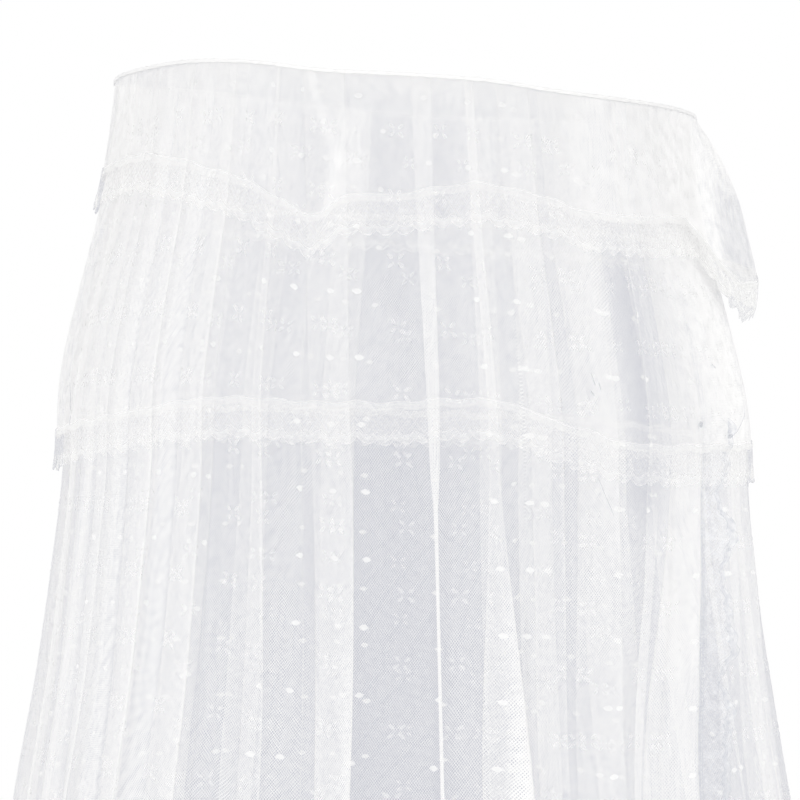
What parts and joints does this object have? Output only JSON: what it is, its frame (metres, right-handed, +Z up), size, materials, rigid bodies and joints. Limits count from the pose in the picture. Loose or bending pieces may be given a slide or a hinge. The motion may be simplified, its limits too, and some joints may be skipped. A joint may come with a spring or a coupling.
{
  "type": "mosquito net canopy",
  "caption": "Round hanging mosquito net with a pleated skirt, short lace-trimmed tiers and a lace-edged opening at the front.",
  "frame": {"origin": "middle of the round rim, at the top edge from which the net hangs", "axes": "+Z up; the front, with the opening a little to its right, faces -Y; +X to the right seen from the front"},
  "size_m": [1.2544, 1.2445, 2.3432],
  "materials": {
    "net": "sheer white knitted polyester net",
    "patterned_net": "sheer white polyester net with small diamonds and crosses knitted in",
    "lace": "white scalloped polyester lace"
  },
  "bodies": {
    "root": {"roof": "net", "skirt": "patterned_net", "lower_tier": "net", "upper_tier": "net", "lower_lace": "lace", "upper_lace": "lace", "opening_lace": "lace"}
  },
  "joints": []
}
